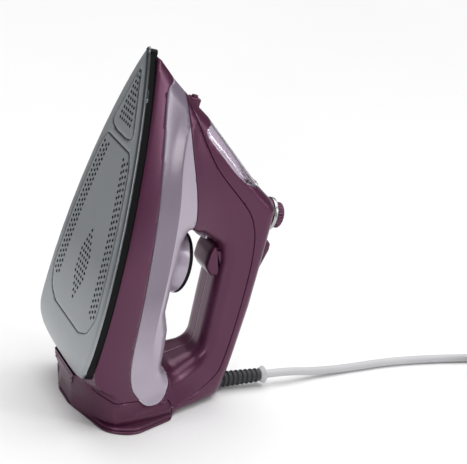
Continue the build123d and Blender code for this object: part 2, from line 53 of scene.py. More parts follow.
camera_data = bpy.data.cameras.new("camera")
camera_data.sensor_width = SENSOR
camera_data.lens = SENSOR * FOCAL_LENGTHS
camera = bpy.data.objects.new("camera", camera_data)
upward = TO_BACK.cross(TO_RIGHT)
camera.matrix_world = Matrix.Translation(EYE) @ Matrix((TO_RIGHT, upward, TO_BACK)).transposed().to_4x4()
bpy.context.scene.collection.objects.link(camera)
bpy.context.scene.camera = camera


# ---------------------------------------------------------------- shader bench
class Wire:
    """One output socket, with Python's operators for its maths."""

    def __init__(self, bench, socket):
        self.bench = bench
        self.socket = socket

    def __add__(self, other):
        return self.bench.maths("ADD", self, other)

    def __sub__(self, other):
        return self.bench.maths("SUBTRACT", self, other)

    def __mul__(self, other):
        return self.bench.maths("MULTIPLY", self, other)

    def __rsub__(self, other):
        return self.bench.maths("SUBTRACT", other, self)

    __radd__ = __add__
    __rmul__ = __mul__


class Bench:
    """Builds the nodes of one material."""

    def __init__(self, name):
        self.material = bpy.data.materials.new(name)
        self.material.use_nodes = True
        self.tree = self.material.node_tree
        self.tree.nodes.clear()

    def node(self, kind, settings=None, inputs=None, out=0):
        """One node: its settings first, then values or wires for its sockets."""
        made = self.tree.nodes.new(kind)
        for key, value in (settings or {}).items():
            setattr(made, key, value)
        for key, value in (inputs or {}).items():
            socket = made.inputs[key]
            if isinstance(value, Wire):
                self.tree.links.new(value.socket, socket)
            elif hasattr(value, "__len__") and len(value) == 3 and socket.type == "RGBA":
                socket.default_value = (*value, 1)
            else:
                socket.default_value = value
        return Wire(self, made.outputs[out])

    def maths(self, operation, a, b):
        return self.node("ShaderNodeMath", {"operation": operation}, {0: a, 1: b})

    def place(self, stretch=(1, 1, 1)):
        """The piece's own coordinates, stretched for grain that runs one way."""
        coords = self.node("ShaderNodeTexCoord", out="Object")
        return self.node("ShaderNodeMapping", inputs={"Vector": coords, "Scale": stretch})

    def noise(self, scale, detail=3.0, stretch=(1, 1, 1), rough=0.5):
        inputs = {"Vector": self.place(stretch), "Scale": scale, "Detail": detail, "Roughness": rough}
        return self.node("ShaderNodeTexNoise", inputs=inputs)

    def tint(self, share, dark, light):
        """A colour between dark and light; a share outside 0 to 1 is held at its end."""
        mix = {"data_type": "RGBA", "clamp_factor": True}
        return self.node("ShaderNodeMix", mix, {0: share, 6: dark, 7: light}, out=2)

    def attribute(self, name):
        return self.node("ShaderNodeAttribute", {"attribute_name": name}, out="Fac")

    def bump(self, height, strength, distance):
        return self.node("ShaderNodeBump", inputs={"Height": height, "Strength": strength, "Distance": distance})

    def finish(self, values):
        """Closes the material with one shader that has these values."""
        shader = self.node("ShaderNodeBsdfPrincipled", inputs=values)
        output = self.tree.nodes.new("ShaderNodeOutputMaterial")
        self.tree.links.new(shader.socket, output.inputs["Surface"])
        return self.material


def linear(red, green, blue):
    """A colour as a paint chart gives it, 0 to 255, made linear."""
    def one(value):
        value = value / 255
        return value / 12.92 if value <= 0.04045 else ((value + 0.055) / 1.055) ** 2.4
    return (one(red), one(green), one(blue))


def moulded(name, dark, light, gloss, coat=0.0, metal=0.0, grain=0.12, specular=0.5, shade_band=None):
    """Injection-moulded plastic: slow colour drift, a fine spark-eroded grain and faint rub marks."""
    bench = Bench(name)
    drift = bench.noise(14.0, 2.0)
    rub = bench.noise(160.0, 4.0, (1, 1, 3), 0.6)
    grainy = bench.noise(2600.0, 2.0)
    colour = bench.tint(drift * 0.88 + rub * 0.12, linear(*dark), linear(*light))
    # painted shade: a darker copy of the colour, laid on the faces marked as shaded
    if shade_band:
        shaded_tint = bench.tint(drift, linear(*shade_band[0]), linear(*shade_band[1]))
        colour = bench.tint(bench.attribute("painted_shade_band"), colour, shaded_tint)
    rough = gloss + (rub - 0.5) * 0.05 + (drift - 0.5) * 0.05
    normal = bench.bump(grainy, grain, 0.00006)
    return bench.finish({
        "Base Color": colour, "Roughness": rough, "Metallic": metal, "Coat Weight": coat,
        "Coat Roughness": 0.18, "Normal": normal, "Specular IOR Level": specular})


SHEEN_FADE = 7.5                  # per metre up from the heel, for the painted reflection


def brushed(name, dark, light, gloss, stretch=(4, 60, 4), groove_shade=False, painted_sheen=None):
    """Brushed or cast metal with grain along one way; on the sole a painted reflection brightens it towards the
    heel and painted shade darkens its grooves.
    """
    bench = Bench(name)
    streak = bench.noise(30.0, 6.0, stretch, 0.7)
    cloud = bench.noise(9.0, 2.0)
    share = streak * 0.65 + cloud * 0.35
    colour = bench.tint(share, linear(*dark), linear(*light))
    # painted reflection: the sole's colour turns brighter towards the heel, where the curled plate would mirror the
    # bright floor
    if painted_sheen:
        along = bench.node("ShaderNodeSeparateXYZ", inputs={0: bench.place()}, out="Z")
        sheen_tint = bench.tint(share, linear(*painted_sheen[0]), linear(*painted_sheen[1]))
        colour = bench.tint(1 - along * SHEEN_FADE, colour, sheen_tint)
    rough = gloss + (streak - 0.5) * 0.16
    if groove_shade:
        # painted shade: the pressed grooves are darkened to dark grey, as shade falling in them
        line = bench.attribute("groove_shade")
        colour = bench.tint(line, colour, linear(60, 62, 64))
        rough = rough + line * 0.25
    normal = bench.bump(streak, 0.10, 0.0001)
    return bench.finish({"Base Color": colour, "Roughness": rough, "Metallic": 1.0, "Normal": normal})


def clear_plastic(name, shade, gloss, through):
    """See-through plastic with a faint haze."""
    bench = Bench(name)
    haze = bench.noise(40.0, 3.0)
    rough = gloss + (haze - 0.5) * 0.05
    lower = [channel * 0.93 for channel in shade]
    colour = bench.tint(haze, linear(*lower), linear(*shade))
    return bench.finish({
        "Base Color": colour, "Roughness": rough, "Transmission Weight": through, "IOR": 1.45,
        "Normal": bench.bump(haze, 0.05, 0.0003), "Coat Weight": 0.4, "Coat Roughness": 0.06})


finishes = {
    "plum": moulded("plum_satin", (74, 31, 58), (92, 42, 72), 0.33, coat=0.12, metal=0.45),
    "plum_dark": moulded("plum_heel", (72, 30, 56), (90, 41, 70), 0.34, coat=0.12, metal=0.45),
    "lilac": moulded("lilac_pearl", (158, 142, 166), (176, 160, 184), 0.30, coat=0.35, metal=0.15),
    "clear_lilac": clear_plastic("lid_clear", (236, 226, 238), 0.06, 0.96),
    "black_plastic": moulded("black_rim", (5, 5, 6), (12, 11, 13), 0.45, grain=0.3, specular=0.15),
    "white_plastic": moulded("white_plastic", (205, 204, 202), (224, 223, 220), 0.42),
    "rubber": moulded("boot_rubber", (34, 35, 38), (58, 59, 63), 0.58, grain=0.35),
    # sole: its second colour pair is a painted reflection, brighter towards the heel
    "sole_metal": brushed("sole_satin", (90, 94, 97), (128, 132, 135), 0.34, (3, 70, 3), groove_shade=True,
                          painted_sheen=((158, 162, 165), (204, 208, 210))),
    "cast_metal": brushed("cast_alloy", (120, 121, 122), (160, 161, 162), 0.55, (8, 8, 8)),
    "steel": brushed("steel", (150, 150, 152), (196, 196, 198), 0.30, (60, 60, 6)),
    "brass": brushed("brass", (158, 124, 60), (200, 166, 92), 0.32, (40, 40, 6)),
    "chrome": brushed("chrome", (186, 187, 190), (226, 227, 230), 0.14, (50, 50, 6)),
    "wire": moulded("wire_cover", (186, 120, 60), (208, 140, 76), 0.5),
    "cord_jacket": moulded("cord_jacket", (176, 176, 178), (204, 204, 206), 0.46, grain=0.3),
    # tank: its second colour pair is painted shade for the facet below the crease
    "tank_lilac": moulded("tank_lilac", (164, 152, 168), (180, 169, 184), 0.26, coat=0.4, metal=0.1,
                          shade_band=((112, 100, 116), (126, 114, 130))),
}

# ---------------------------------------------------------------- the iron's own axes
LEAN = radians(9)
CENTRE = 99.23254                # from the heel line to the part's middle


def stand(points):
    """Points along, across and up from the sole, in mm, turned to the standing iron in metres."""
    points = np.asarray(points, float).reshape(-1, 3)
    x, y, z = points[:, 0], points[:, 1], points[:, 2]
    world = (x * sin(LEAN) + z * cos(LEAN) - CENTRE, -y, x * cos(LEAN) - z * sin(LEAN))
    return np.stack(world, 1) / 1000


pieces = []


def make_piece(name, points, faces, slot, body="iron", replaces=(), finish=None, stood=True):
    """A mesh piece, from mm points to be stood up or from metres already in place."""
    mesh = bpy.data.meshes.new(name)
    places = stand(points) if stood else np.asarray(points, float)
    mesh.from_pydata([tuple(p) for p in places], [], [tuple(int(i) for i in f) for f in faces])
    mesh.validate()
    tool = bmesh.new()
    tool.from_mesh(mesh)
    bmesh.ops.remove_doubles(tool, verts=tool.verts, dist=1e-6)
    bmesh.ops.recalc_face_normals(tool, faces=tool.faces)
    tool.to_mesh(mesh)
    tool.free()
    for face in mesh.polygons:
        face.use_smooth = True
    piece = bpy.data.objects.new(name, mesh)
    bpy.context.scene.collection.objects.link(piece)
    mesh.materials.append(finishes[finish or slot])
    pieces.append((piece, slot, body, replaces))
    return piece


def refine(piece, kind, **settings):
    """Adds one modifier and bakes it into the mesh."""
    modifier = piece.modifiers.new(kind, kind)
    for key, value in settings.items():
        setattr(modifier, key, value)
    graph = bpy.context.evaluated_depsgraph_get()
    graph.update()
    baked = bpy.data.meshes.new_from_object(piece.evaluated_get(graph))
    piece.modifiers.remove(modifier)
    old = piece.data
    piece.data = baked
    bpy.data.meshes.remove(old)
    return piece


def crisp(piece, angle=50):
    """Smooth shading with the sharp edges kept sharp."""
    tool = bmesh.new()
    tool.from_mesh(piece.data)
    limit = radians(angle)
    for edge in tool.edges:
        if len(edge.link_faces) == 2:
            edge.smooth = edge.calc_face_angle(0.0) < limit
    for face in tool.faces:
        face.smooth = True
    tool.to_mesh(piece.data)
    tool.free()
    return piece


def lathe(profile, steps=64):
    """Turned shape: (radius, height) pairs round the Z axis, closed at both ends."""
    points, faces, rows = [], [], []
    for radius, height in profile:
        if radius < 1e-6:
            rows.append([len(points)])
            points.append((0, 0, height))
        else:
            rows.append(list(range(len(points), len(points) + steps)))
            for k in range(steps):
                turn = 2 * pi * k / steps
                points.append((radius * cos(turn), radius * sin(turn), height))
    for low, high in zip(rows, rows[1:]):
        for k in range(steps):
            n = (k + 1) % steps
            if len(low) == 1 and len(high) == 1:
                continue
            if len(low) == 1:
                faces.append((low[0], high[n], high[k]))
            elif len(high) == 1:
                faces.append((low[k], low[n], high[0]))
            else:
                faces.append((low[k], low[n], high[n], high[k]))
    return np.array(points, float), faces


def rounded(profile, radius=0.8, steps=4):
    """Profile with its corners rounded, for turned pieces."""
    made = [profile[0]]
    for before, here, after in zip(profile, profile[1:], profile[2:]):
        a = Vector(before) - Vector(here)
        b = Vector(after) - Vector(here)
        reach = min(radius, a.length * 0.45, b.length * 0.45)
        start, end = Vector(here) + a.normalized() * reach, Vector(here) + b.normalized() * reach
        for k in range(steps + 1):
            t = k / steps
            made.append(tuple((1 - t) ** 2 * start + 2 * t * (1 - t) * Vector(here) + t * t * end))
    made.append(profile[-1])
    return made


# ---------------------------------------------------------------- outlines in the side view
def densify(points, step):
    """The same line with points about a step apart."""
    made = []
    count = len(points)
    for k in range(count - 1):
        a, b = np.array(points[k], float), np.array(points[k + 1], float)
        parts = max(1, int(round(np.linalg.norm(b - a) / step)))
        made += [a + (b - a) * t / parts for t in range(parts)]
    made.append(np.array(points[-1], float))
    return np.array(made)


def corners(points, radii, step=2.0):
    """Closed outline with each corner rounded to its own radius."""
    count = len(points)
    made = []
    for k in range(count):
        here = np.array(points[k], float)
        a = np.array(points[k - 1], float) - here
        b = np.array(points[(k + 1) % count], float) - here
        la, lb = np.linalg.norm(a), np.linalg.norm(b)
        a, b = a / la, b / lb
        radius = radii[k]
        if radius == 0:
            made.append(here)
            continue
        half = acos(float(np.clip(a @ b, -1, 1))) / 2
        reach = min(radius / tan(half), la * 0.48, lb * 0.48)
        radius = reach * tan(half)
        middle = here + (a + b) / np.linalg.norm(a + b) * (radius / sin(half))
        start, end = here + a * reach - middle, here + b * reach - middle
        turn = pi - 2 * half
        bits = max(3, int(turn * radius / step), int(turn / 0.2))
        for j in range(bits + 1):
            t = j / bits
            made.append(middle + (start * sin((1 - t) * turn) + end * sin(t * turn)) / sin(turn))
    made.append(made[0])
    return densify(made, step)


def flowing(points, step=2.0):
    """Smooth open line through the points."""
    p = [np.array(q, float) for q in points]
    p = [2 * p[0] - p[1]] + p + [2 * p[-1] - p[-2]]
    made = []
    for a, b, c, d in zip(p, p[1:], p[2:], p[3:]):
        bits = max(2, int(np.linalg.norm(c - b) / step))
        for j in range(bits):
            t = j / bits
            made.append(0.5 * (2 * b + (c - a) * t + (2 * a - 5 * b + 4 * c - d) * t * t
                               + (3 * b - a - 3 * c + d) * t ** 3))
    made.append(p[-2])
    return np.array(made)


def inside(points, loop):
    """Even-odd test for many points."""
    x, y = points[:, 0], points[:, 1]
    hit = np.zeros(len(points), bool)
    for (ax, ay), (bx, by) in zip(loop, np.roll(loop, -1, 0)):
        if ay == by:
            continue
        cross = ((ay > y) != (by > y)) & (x < (bx - ax) * (y - ay) / (by - ay) + ax)
        hit ^= cross
    return hit


def distance(points, line):
    """Distance from many points to a line of straight bits."""
    best = np.full(len(points), 1e9)
    for a, b in zip(line, line[1:]):
        d = b - a
        size = d @ d
        if size < 1e-12:
            continue
        t = np.clip(((points - a) @ d) / size, 0, 1)
        gap = points - a - t[:, None] * d
        best = np.minimum(best, np.hypot(gap[:, 0], gap[:, 1]))
    return best


def left_of(ring):
    """Unit normals to the left of a closed outline."""
    tangent = np.roll(ring, -1, 0) - np.roll(ring, 1, 0)
    tangent /= np.maximum(np.linalg.norm(tangent, axis=1), 1e-9)[:, None]
    return np.stack([-tangent[:, 1], tangent[:, 0]], 1)


def inward_of(ring):
    """Unit normals into a closed outline, whichever way round it runs."""
    area = 0.5 * np.sum(ring[:, 0] * np.roll(ring[:, 1], -1) - np.roll(ring[:, 0], -1) * ring[:, 1])
    return left_of(ring) * (1 if area > 0 else -1)


def skinned(levels, count):
    """Faces over rings of count points each, closed at both ends."""
    made = []
    for level in range(levels - 1):
        for k in range(count):
            n = (k + 1) % count
            a, b = level * count, (level + 1) * count
            made.append((a + k, a + n, b + n, b + k))
    last = (levels - 1) * count
    return made + [tuple(range(count)), tuple(last + k for k in reversed(range(count)))]


TOP = 150.0
SLOPE = tan(LEAN)
silhouette = corners(
    [(299.5, 2.6), (296, 12), (283.5, 27), (270.5, 46.5), (259.5, 64.5), (210.5, 127), (203, 139),
     (197, 145.6), (165, 147.4), (110, TOP), (SLOPE * TOP, TOP), (SLOPE * 18.6 + 0.4, 18.6),
     (15, 16.6), (30, 10), (60, 2.6)],
    [0, 4, 30, 0, 6, 20, 8, 6, 60, 100, 11, 2, 10, 5, 0])
finger_gap = corners(
    [(173, 66.5), (159, 104), (146, 109), (122, 111), (64, 116.5), (50, 92), (54, 79.5), (88, 73), (105, 64.6),
     (134, 62.6), (162, 63)],
    [5, 7, 12, 60, 15, 12, 4, 14, 10, 60, 6], 1.6)
skirt_seam = flowing([(300, 25.5), (290, 26.6), (283, 25.5), (279, 21.8), (271, 20), (234, 23.3), (190, 28),
                      (122, 33.3), (69, 39), (44, 46.5), (33, 56), (26.5, 66), (27.2, 78), (33, 85), (42, 87.2),
                      (50, 84), (56.5, 76)])
handle_seam = flowing([(168, 70.5), (172.5, 70), (183, 69.4), (199, 65.5), (217.5, 59), (240, 50.5), (262, 43),
                       (276, 37.6)])
spine_seam = flowing([(277, 36.4), (259.4, 50.2), (224.3, 78.8), (198.8, 111), (189.4, 121.3), (179, 127.7),
                      (167, 132), (141, 136.3), (98, 138.8), (58.6, 138.5), (45, 134), (34.4, 122), (27, 104),
                      (24.5, 93)])
heel_line = flowing([(38, 0), (37.5, 9.6), (31.6, 22.5), (29.7, 34.3), (30.4, 48), (31, 60)])
cap_line = flowing([(27.5, 79), (27.6, 84), (29.5, 88), (24.5, 92.5), (8, 95.5)])
panel_seams = [skirt_seam, handle_seam, spine_seam, heel_line, cap_line]
crease = flowing([(262, 52), (250, 45.5), (224, 44), (190, 48.5), (150, 51), (110, 53), (80, 57), (58, 66)])
LID_FOOT = (262.2, 61.0)
LID_ANGLE = radians(128.1)


def lid_point(s, t):
    """Point s along the lid and t out from it."""
    along = (cos(LID_ANGLE), sin(LID_ANGLE))
    return (LID_FOOT[0] + s * along[0] - t * along[1], LID_FOOT[1] + s * along[1] + t * along[0])


SHIELD_TOP = 8.6
BEND = 62.6                      # where the sole's rear starts to curl
CURL = 45.0                      # radius of the curl
REAR_EDGE = 33.4
shield_curl = [(BEND - (CURL - SHIELD_TOP) * sin(radians(a)), CURL - (CURL - SHIELD_TOP) * cos(radians(a)))
               for a in range(0, 31, 5)]
shield_line = densify([(304, SHIELD_TOP)] + shield_curl + [(38, 13.2), (34.4, 11), (REAR_EDGE, 3)], 2.0)
lid_loop = corners([lid_point(s, t) for s, t in
                    [(8, -5), (8, 9), (14, 10.5), (55, 10.2), (67, 8.2), (76, 4), (83, -1), (83, -5)]],
                   [0, 2, 4, 20, 12, 10, 0, 0])


# ---------------------------------------------------------------- outer skin
SOLE_WIDE = 64.0                 # half width at the widest place
SOLE_TIP = 303.5
SOLE_FULL = 85.5                 # full width from here to the rear


def sole_half(x):
    """Half width of the sole in plan."""
    share = np.minimum((SOLE_TIP - x) / (SOLE_TIP - SOLE_FULL), 1)
    spread = 1 - (1 - np.abs(share)) ** 1.8
    return SOLE_WIDE * spread ** 0.87 * np.where(share > 0, 1, -1)


def soft_max(a, b, blend):
    """The larger of two, with a smooth change between them."""
    return (a + b) / 2 + np.sqrt(((a - b) / 2) ** 2 + blend ** 2)


def skin_half(x, z):
    """Half width of the body without its rounded edges."""
    deck = 74 / (1 + 0.75 * (np.maximum(x, 0) / 265) ** 6)
    hull = sole_half(x) / (1 + 0.6 * (np.maximum(z, 0) / deck) ** 2.6)
    handle = -soft_max(-20.5, -0.46 * sole_half(x) - 0.5, 2)
    body = soft_max(hull, handle, 2.5)
    near_heel = np.maximum(1 - (x - SLOPE * z) / 48, 0) ** 2
    rise = np.maximum(z - 40, 0) / 118
    heel = 67 * (1 - 0.9 * rise ** 1.7)
    return body + (heel - body) * np.minimum(near_heel, 1)


EDGE_DEPTH = 9.0                 # rounding round the outline
LIP_DEPTH = 11.0                 # rounding round the finger gap
SEAM_DEPTH = 0.9
SEAM_HALF = 0.5


def round_off(gap, depth):
    """0 away from an edge, rising to 1 at the edge, as a quarter of an ellipse."""
    share = np.clip(1 - gap / depth, 0, 1)
    return 1 - np.sqrt(1 - share ** 2)


def skin(points):
    """Half width of the finished skin: edges and heel rounded, the tank's crease raised, seams sunk."""
    x, z = points[:, 0], points[:, 1]
    half = skin_half(x, z)
    to_edge = distance(points, silhouette)
    to_gap = distance(points, finger_gap)
    high = np.clip((z - 20) / 40, 0, 1)
    heel_side = np.clip(1 - (x - SLOPE * z) / 10, 0, 1) * np.clip((105 - z) / 10, 0, 1)
    share = (0.30 + 0.34 * high) * (1 - 0.9 * heel_side)
    low_front = np.clip((14 - z) / 3, 0, 1)
    share = share * (1 - low_front)
    deck_edge = np.clip((84 - z) / 8, 0, 1)
    corner = np.interp(x, [3, 15, 25, 34, 36, 38, 40, 43, 47, 52, 60, 70, 80],
                       [12, 16, 20, 24, 30, 38, 45, 52, 57.5, 61, 64, 72, 90])
    rise = z - np.interp(x, [3, 15, 34], [18.2, 16.6, 10.5])
    heel_swell = np.interp(rise, [0, 1, 4, 8, 12, 17, 24, 34, 44], [4, 8, 17, 28, 38, 49, 56, 59.5, 62])
    sole_swell = np.interp(rise, [0, 3, 6, 11, 17, 25, 34], [0, 8, 15, 22, 28, 40, 50])
    forward = np.clip((x - 3) / 31, 0, 1)
    heel_round = corner + heel_swell * (1 - forward) + sole_swell * forward
    half = -soft_max(-half, -heel_round, 1.0)
    lip_share = 0.58 - 0.33 * deck_edge
    half = half * (1 - share * round_off(to_edge, EDGE_DEPTH) - lip_share * round_off(to_gap, LIP_DEPTH))
    ridge = 1.3 * np.clip(1 - distance(points, crease) / 11, 0, 1) * np.clip((x - 60) / 25, 0, 1)
    half = half + ridge * np.clip((262 - x) / 20, 0, 1)
    seam = np.min([distance(points, line) for line in panel_seams], 0)
    return half - SEAM_DEPTH * np.clip(1 - seam / SEAM_HALF, 0, 1)


def side_mesh():
    """One flat mesh of the whole side view, with every parting line in it."""
    seams = panel_seams + [crease, shield_line, lid_loop]
    lines = [silhouette, finger_gap] + seams
    points, edges = [], []
    for line in lines:
        start = len(points)
        points += [tuple(p) for p in line]
        edges += [(start + k, start + k + 1) for k in range(len(line) - 1)]
    rows = []
    for loop, depth, sign in ((silhouette, EDGE_DEPTH, 1), (finger_gap, LIP_DEPTH, -1)):
        ring = densify(loop, 2.0)[:-1]
        inward = inward_of(ring) * sign
        for turn in (15, 30, 45, 60, 75, 92):
            gap = depth * (1 - cos(radians(turn)))
            row = ring + inward * gap
            clear = distance(row, loop) > gap * 0.93
            rows.append(row[clear])
    step = 2.3
    xs, zs = np.meshgrid(np.arange(-2, 305, step), np.arange(0, 152, step))
    xs = xs + (np.arange(xs.shape[0]) % 2)[:, None] * step / 2
    grid = np.stack([xs.ravel(), zs.ravel()], 1)
    clear = (distance(grid, silhouette) > EDGE_DEPTH + 0.8) & (distance(grid, finger_gap) > LIP_DEPTH + 0.8)
    rows.append(grid[clear])
    extra = np.vstack(rows)
    extra = extra[inside(extra, silhouette[:-1]) & ~inside(extra, finger_gap[:-1])]
    for line in seams:
        extra = extra[distance(extra, line) > 1.1]
    for line in panel_seams:
        way = np.gradient(line, axis=0)
        way /= np.linalg.norm(way, axis=1)[:, None]
        aside = np.stack([-way[:, 1], way[:, 0]], 1) * 0.52
        beside = np.vstack([line + aside, line - aside])
        beside = beside[inside(beside, silhouette[:-1]) & ~inside(beside, finger_gap[:-1])]
        for other in seams:
            beside = beside[distance(beside, other) > 0.45]
        extra = np.vstack([extra, beside])
    points += [tuple(p) for p in extra]
    flat = [Vector(p) for p in points]
    found = delaunay_2d_cdt(flat, edges, [], 0, 1e-4)
    verts = np.array([tuple(v) for v in found[0]])
    faces = np.array([f for f in found[2]])
    centres = verts[faces].mean(1)
    sole_room = np.vstack([shield_line, [(REAR_EDGE, -20), (330, -20), (330, SHIELD_TOP)]])
    kept = inside(centres, silhouette[:-1]) & ~inside(centres, finger_gap[:-1]) & ~inside(centres, sole_room)
    return verts, faces[kept], centres[kept]


verts, faces, centres = side_mesh()
widths = skin(verts)


def loop_of(*parts):
    """One closed loop from lines and points."""
    return np.vstack([np.atleast_2d(np.array(p, float)) for p in parts])


tank_loop = loop_of(skirt_seam, [(58, 90), (166, 90)], handle_seam, [(300, 41)])
heel_loop = loop_of([(-20, -5), (38, -5)], heel_line, [(31, 70)], cap_line, [(-20, 96)])
skirt_loop = loop_of([(320, -5), (320, 26.5)], skirt_seam[:-24], [(20, 60), (20, -5)])
handle_loop = loop_of([(279, 36)], spine_seam, [(26, 86), (60, 60), (170, 60), (240, 40)])
in_lid = inside(centres, lid_loop[:-1])
in_tank = inside(centres, tank_loop) & ~in_lid
in_heel = inside(centres, heel_loop) & ~in_tank & ~in_lid
in_skirt = inside(centres, skirt_loop) & ~in_tank & ~in_heel & ~in_lid
in_handle = inside(centres, handle_loop) & ~in_tank & ~in_heel & ~in_skirt & ~in_lid
in_spine = ~(in_tank | in_heel | in_skirt | in_handle | in_lid)


def shell(name, chosen, slot, replaces, wall=2.4, side=0, body="iron", finish=None, bevel=0.2):
    """A hollow shell over the chosen triangles: side 0 is both sides in one piece, 1 or -1 is one half."""
    tris = faces[chosen]
    used, tris = np.unique(tris, return_inverse=True)
    tris = tris.reshape(-1, 3)
    flat, half = verts[used], widths[used]
    count = len(used)
    left = np.stack([flat[:, 0], half, flat[:, 1]], 1)
    right = left * (1, -1, 1)
    points = np.vstack([left, right])
    made = []
    if side >= 0:
        made += [tuple(t) for t in tris]
    if side <= 0:
        made += [tuple(t[::-1] + count) for t in tris]
    seen = {}
    for t in tris:
        for a, b in ((t[0], t[1]), (t[1], t[2]), (t[2], t[0])):
            seen[(a, b)] = 1
    border = [(a, b) for a, b in seen if (b, a) not in seen]
    middle = np.array([(flat[a] + flat[b]) / 2 for a, b in border])
    open_edge = np.minimum(distance(middle, silhouette), distance(middle, finger_gap)) < 0.12
    open_edge |= (distance(middle, shield_line) < 0.12) & (middle[:, 0] < 60)
    open_edge &= middle[:, 1] > 3.5
    strips = 6
    extra = []
    column = {}

    def across(a, k):
        """Point k of the strip that crosses the iron at border point a."""
        if k == 0:
            return a
        if k == 2 * strips:
            return a + count
        key = (a, k)
        if key not in column:
            column[key] = 2 * count + len(extra)
            share = 1 - k / strips
            extra.append((flat[a][0], half[a] * share, flat[a][1]))
        return column[key]

    spans = range(2 * strips) if side == 0 else range(strips) if side > 0 else range(strips, 2 * strips)
    for (a, b), crossing in zip(border, open_edge):
        if crossing:
            for k in spans:
                made.append((across(b, k), across(a, k), across(a, k + 1), across(b, k + 1)))
    points = np.vstack([points] + [np.array(extra)] * bool(extra))
    piece = make_piece(name, points, made, slot, body, replaces, finish)
    loose = bmesh.new()
    loose.from_mesh(piece.data)
    stray = [v for v in loose.verts if not v.link_faces]
    bmesh.ops.delete(loose, geom=stray, context="VERTS")
    total = sum((f.calc_area() * f.normal for f in loose.faces if f.calc_center_median().y < -0.004), Vector())
    facing = total.y if side >= 0 else -sum((f.calc_area() * f.normal.y for f in loose.faces
                                             if f.calc_center_median().y > 0.004))
    if facing > 0:
        bmesh.ops.reverse_faces(loose, faces=loose.faces)
    loose.to_mesh(piece.data)
    loose.free()
    refine(piece, "SOLIDIFY", thickness=wall / 1000, offset=-1.0, use_even_offset=False)
    refine(piece, "BEVEL", width=bevel / 1000, segments=2, limit_method="ANGLE", angle_limit=radians(60),
           use_clamp_overlap=True)
    return crisp(piece)


def lie(points):
    """Back from the standing iron to mm along, across and up from the sole."""
    points = np.asarray(points, float).reshape(-1, 3) * 1000
    x, z = points[:, 0] + CENTRE, points[:, 2]
    return np.stack([x * sin(LEAN) + z * cos(LEAN), -points[:, 1], x * cos(LEAN) - z * sin(LEAN)], 1)


shell("skirt_shell", in_skirt, "plum", ["lower_skirt"])
shell("heel_shell", in_heel, "plum_dark", ["heel_cap"])
tank = shell("tank_shell", in_tank, "lilac", ["water_tank"], finish="tank_lilac")
SHADE_BAND_END, SHADE_BAND_FADE = 62, 60
face_places = lie([f.center for f in tank.data.polygons])
order = np.argsort(crease[:, 0])
crease_height = np.interp(face_places[:, 0], crease[order, 0], crease[order, 1])
# painted shade: darker lilac below the crease, where the lower facet turns away from the light, fading out towards
# the heel
shaded_front = (face_places[:, 2] < crease_height) * np.clip((face_places[:, 0] - SHADE_BAND_END) / SHADE_BAND_FADE, 0, 1)
shade_band = tank.data.attributes.new("painted_shade_band", "FLOAT", "FACE")
shade_band.data.foreach_set("value", shaded_front.astype(float))
shell("grip_left", in_handle, "plum", ["handle_left"], side=1)
shell("grip_right", in_handle, "plum", ["handle_right"], side=-1)
shell("spine_shell", in_spine, "plum", ["spine_cover"])
shell("lid_shell", in_lid, "clear_lilac", ["filler_lid"], wall=1.8, body="lid", bevel=0.6)


# ---------------------------------------------------------------- soleplate
HOLE = 1.4
HOLE_ROOM = 1.9
GROOVE_HALF = 0.6
GROOVE_DEPTH = 0.5
EDGE_DRAW = 3.0
EDGE_LIFT = 2.6
plan_side = [(302.4, 2.8)] + [(x, float(sole_half(np.array(x)))) for x in
                              (299.5, 294, 286, 275, 262, 245, 225, 200, 175, 150, 125, 105, 85)]
plan_side += [(70, 63.8), (60, 62.4), (50.5, 58.6), (43, 51), (39, 40), (36.4, 24), (35.6, 8)]
plan_points = [(SOLE_TIP, 0)] + plan_side + [(x, -y) for x, y in reversed(plan_side)]
plan = corners(plan_points, [3] * len(plan_points), 2.0)


def hole_places():
    """Steam holes: a small triangle at the tip, two long bands and a lozenge."""
    places = []
    for row in range(10):
        count = 1 + round(row * 0.6)
        for k in range(count):
            places.append((283 - 4.6 * row, 4.4 * (k - (count - 1) / 2)))
    for row in range(26):
        x = 216 - 4.8 * row
        for lane in range(3):
            y = float(sole_half(np.array(x))) - 14.5 - 4.6 * lane
            places.append((x - 2.4 * (lane % 2), y))
            places.append((x - 2.4 * (lane % 2), -y))
    for row in range(13):
        count = 1 + min(row, 12 - row, 4)
        for k in range(count):
            places.append((149 - 4.8 * row, 4.6 * (k - (count - 1) / 2)))
    return places


def inset_line(start, end, inset, sign):
    """Line that follows the sole's side at an inset."""
    return [(x, sign * (float(sole_half(np.array(x))) - inset)) for x in np.linspace(start, end, 12)]


tip_groove = corners([(289, 0), (234, -24), (231, -10), (231, 10), (234, 24)], [3, 5, 4, 4, 5], 2.0)
u_groove = corners([(224, -25), (224, 25)] + inset_line(214, 96, 9.5, 1)
                   + [(80, 46), (73.6, 30), (73.6, -30), (80, -46)] + inset_line(96, 214, 9.5, -1),
                   [4, 4] + [20] * 12 + [14] * 4 + [20] * 12, 2.0)


